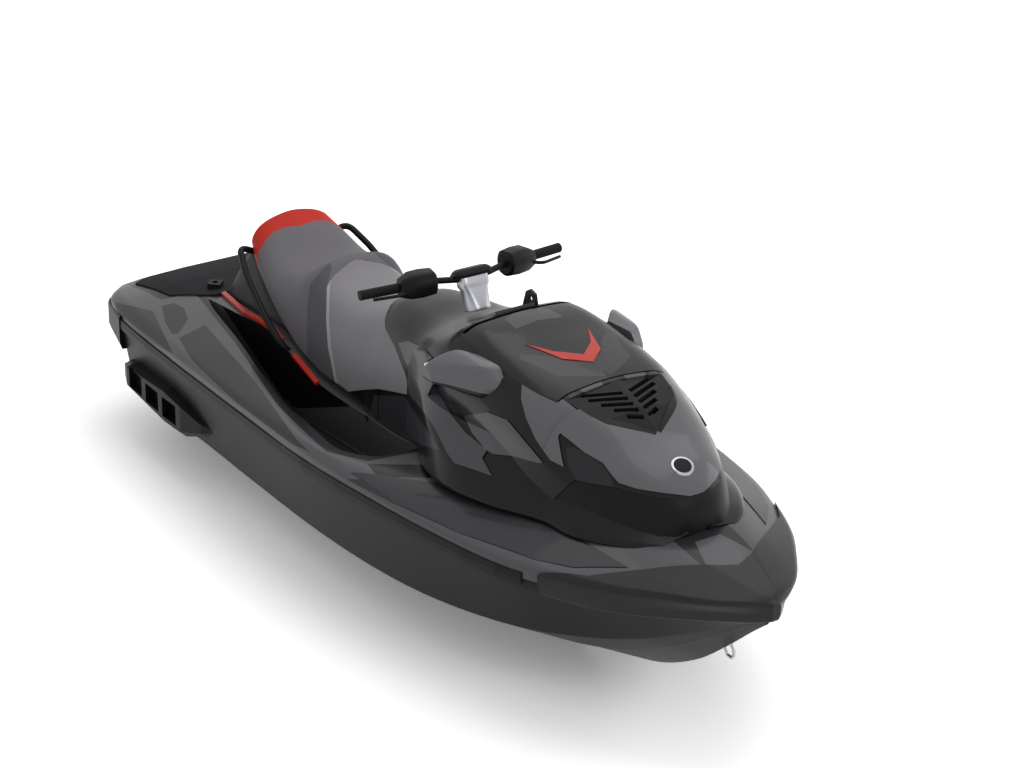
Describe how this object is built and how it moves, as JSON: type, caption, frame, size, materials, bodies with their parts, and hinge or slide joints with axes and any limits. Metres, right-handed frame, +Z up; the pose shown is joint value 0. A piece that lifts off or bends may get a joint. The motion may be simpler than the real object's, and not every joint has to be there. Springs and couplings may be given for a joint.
{
  "type": "personal watercraft",
  "caption": "Decked jet-driven craft with a stepped saddle, handlebar, opening front cover, side foot wells and a steered jet nozzle.",
  "frame": {"origin": "on the centre line, amidships, at the waterline, 300 mm above the keel", "axes": "+X to the bow, +Y to port, +Z up"},
  "size_m": [3.452, 1.242, 1.0888],
  "materials": {
    "hull_shell": "gloss moulded hull",
    "deck_shell": "gloss moulded deck",
    "black_trim": "grained black plastic",
    "engine": "cast block",
    "seat_cover": "sewn seat vinyl",
    "seat_rear": "sewn seat vinyl",
    "grey_panel": "gloss grey panel",
    "dark_panel": "gloss dark panel",
    "red_trim": "gloss red trim",
    "mat": "grooved foam mat",
    "grip": "ribbed grip rubber",
    "steel": "stainless steel",
    "alloy": "cast aluminium",
    "mirror": "mirror glass",
    "screen": "blank instrument screen"
  },
  "bodies": {
    "craft": {"hull": "hull_shell", "deck": "deck_shell", "rub_rail": "black_trim", "stern_corners": "black_trim", "bow_cap": "black_trim", "sponsons": "black_trim", "bow_eye": "steel", "stern_eyes": "steel", "tow_hook": "steel", "engine_block": "engine", "seat_pedestal": "dark_panel", "passenger_seat": "seat_rear", "driver_seat": "seat_cover", "grab_handles": "black_trim", "rear_mat": "mat", "footwell_mats": "mat", "cargo_fittings": "black_trim", "console": "black_trim", "display": "screen", "hood": "grey_panel", "hood_grille": "black_trim", "storage_bin": "black_trim", "side_fairings": "grey_panel", "nose_band": "black_trim", "bow_panels": "dark_panel", "mirror_housings": "grey_panel", "mirror_glasses": "mirror", "ride_plate": "alloy", "intake_grate": "alloy", "pump_housing": "alloy", "pump_nozzle": "alloy", "well_trim": "red_trim"},
    "steering": {"steering_stem": "alloy", "handlebar": "steel", "bar_pad": "black_trim", "grips": "grip", "switch_housings": "black_trim", "throttle_lever": "black_trim", "brake_lever": "black_trim"},
    "front_cover": {"storage_lid": "black_trim", "cover_stripe": "red_trim"},
    "ring": {"trim_ring": "alloy"},
    "nozzle": {"steering_nozzle": "alloy"},
    "gate": {"reverse_gate": "alloy"},
    "drive": {"impeller": "steel"}
  },
  "joints": [
    {"name": "steering", "type": "hinge", "parent": "craft", "child": "steering", "pos_m": [0.105, 0, 0.625], "axis": [-0.3256, 0, 0.9455], "range_deg": [-22, 22]},
    {"name": "cover_hinge", "type": "hinge", "parent": "craft", "child": "front_cover", "pos_m": [0.863, 0, 0.677], "axis": [0, 1, 0], "range_deg": [0, 60]},
    {"name": "trim", "type": "hinge", "parent": "craft", "child": "ring", "pos_m": [-1.575, 0, -0.165], "axis": [0, 1, 0], "range_deg": [-6, 6]},
    {"name": "nozzle_turn", "type": "hinge", "parent": "ring", "child": "nozzle", "pos_m": [-1.575, 0, -0.165], "axis": [0, 0, 1], "range_deg": [-20, 20]},
    {"name": "gate_drop", "type": "hinge", "parent": "ring", "child": "gate", "pos_m": [-1.575, 0, -0.165], "axis": [0, -1, 0], "range_deg": [0, 60]},
    {"name": "drive_spin", "type": "hinge", "parent": "craft", "child": "drive", "pos_m": [-1.325, 0, -0.165], "axis": [1, 0, 0], "continuous": true}
  ],
  "couplings": [
    {"joint": "nozzle_turn", "follows": "steering", "ratio": -0.9}
  ]
}
